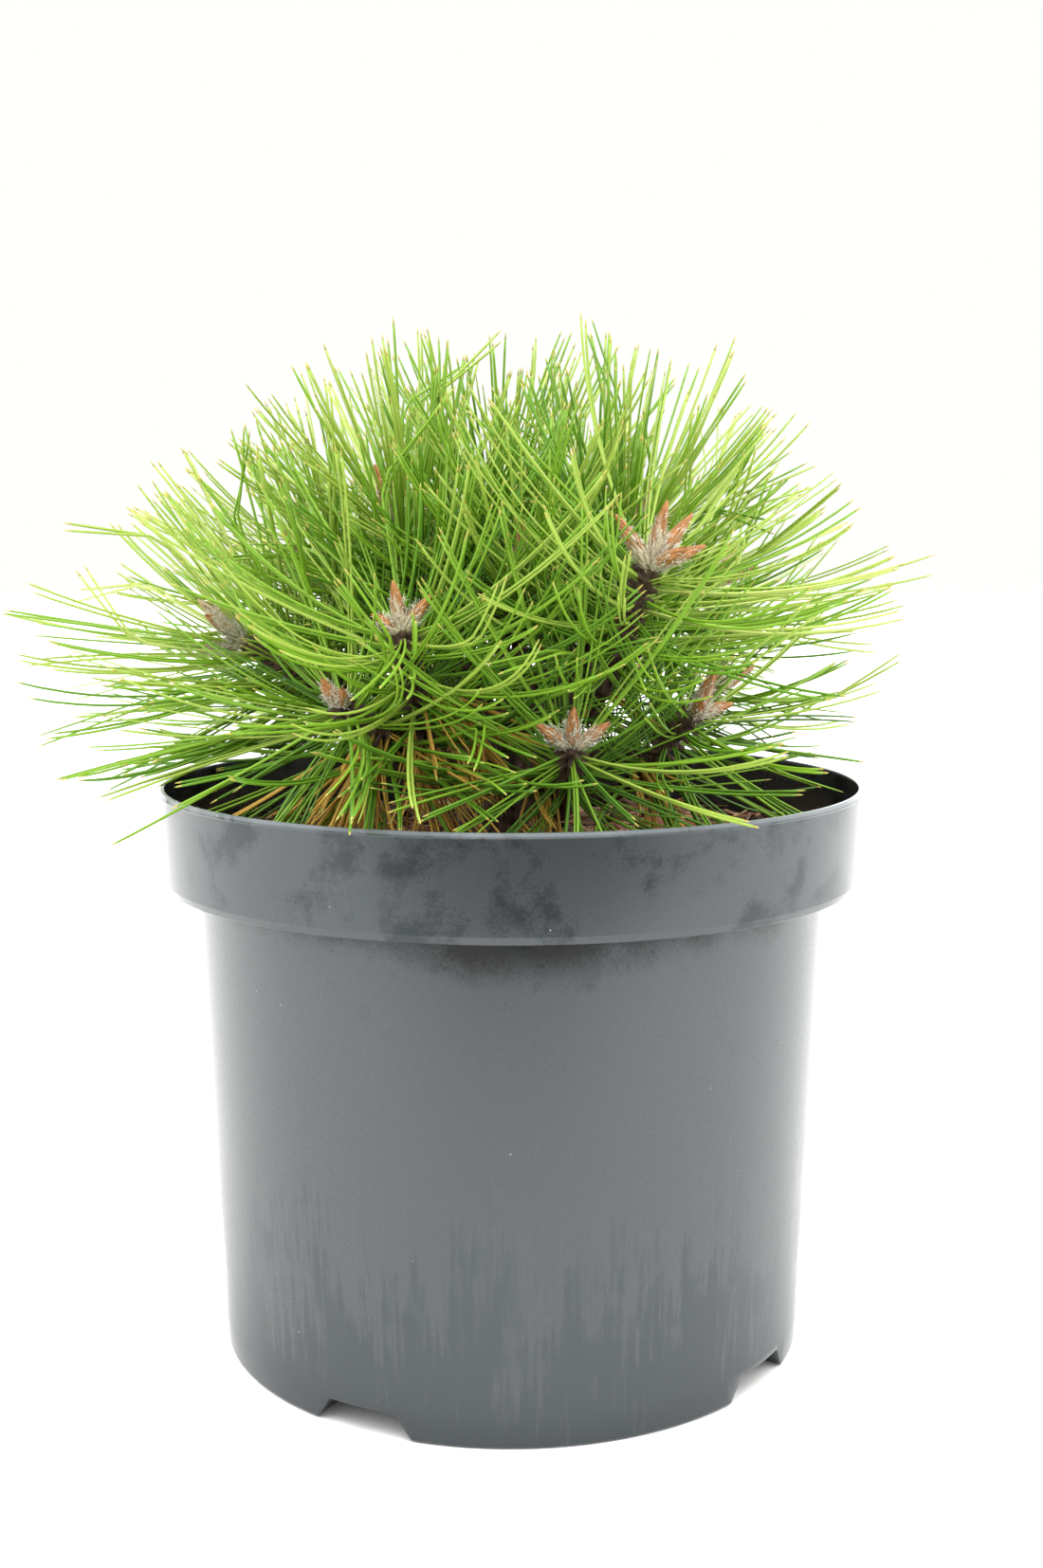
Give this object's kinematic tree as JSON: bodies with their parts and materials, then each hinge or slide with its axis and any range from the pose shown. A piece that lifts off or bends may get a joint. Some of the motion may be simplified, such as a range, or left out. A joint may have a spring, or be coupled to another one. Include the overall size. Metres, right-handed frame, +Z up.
{
  "type": "potted japanese red pine",
  "caption": "Low mounded young pine with long paired needles and winter buds, in a round black nursery container filled with bark mix.",
  "frame": {"origin": "centre of the container's flat underside", "axes": "+Z up along the container's axis, -Y towards the front as pictured, +X to the right"},
  "size_m": [0.322, 0.2959, 0.3573],
  "materials": {
    "tub_plastic": "satin moulded black polypropylene",
    "potting_bark": "moist bark and peat mix",
    "bark": "rough scaly bark",
    "needles": "satin green needles"
  },
  "bodies": {
    "root": {"pot": "tub_plastic", "soil": "potting_bark", "trunk": "bark", "bough_front_right_upper": "bark", "bough_front_left_upper": "bark", "bough_front_low": "bark", "bough_right_low": "bark", "bough_left_low": "bark", "bough_left_tip": "bark", "bough_top_left": "bark", "bough_top_right": "bark", "bough_top_back": "bark", "bough_right_back_upper": "bark", "bough_left_back_upper": "bark", "bough_right_back_low": "bark", "bough_left_back_low": "bark", "bough_back_left_low": "bark", "bough_back_right_low": "bark", "bough_back_upper": "bark", "needles_front_right_upper": "needles", "needles_front_left_upper": "needles", "needles_front_low": "needles", "needles_right_low": "needles", "needles_left_low": "needles", "needles_left_tip": "needles", "needles_top_left": "needles", "needles_top_right": "needles", "needles_top_back": "needles", "needles_centre": "needles", "needles_right_back_upper": "needles", "needles_left_back_upper": "needles", "needles_right_back_low": "needles", "needles_left_back_low": "needles", "needles_back_left_low": "needles", "needles_back_right_low": "needles", "needles_back_upper": "needles"}
  },
  "joints": []
}
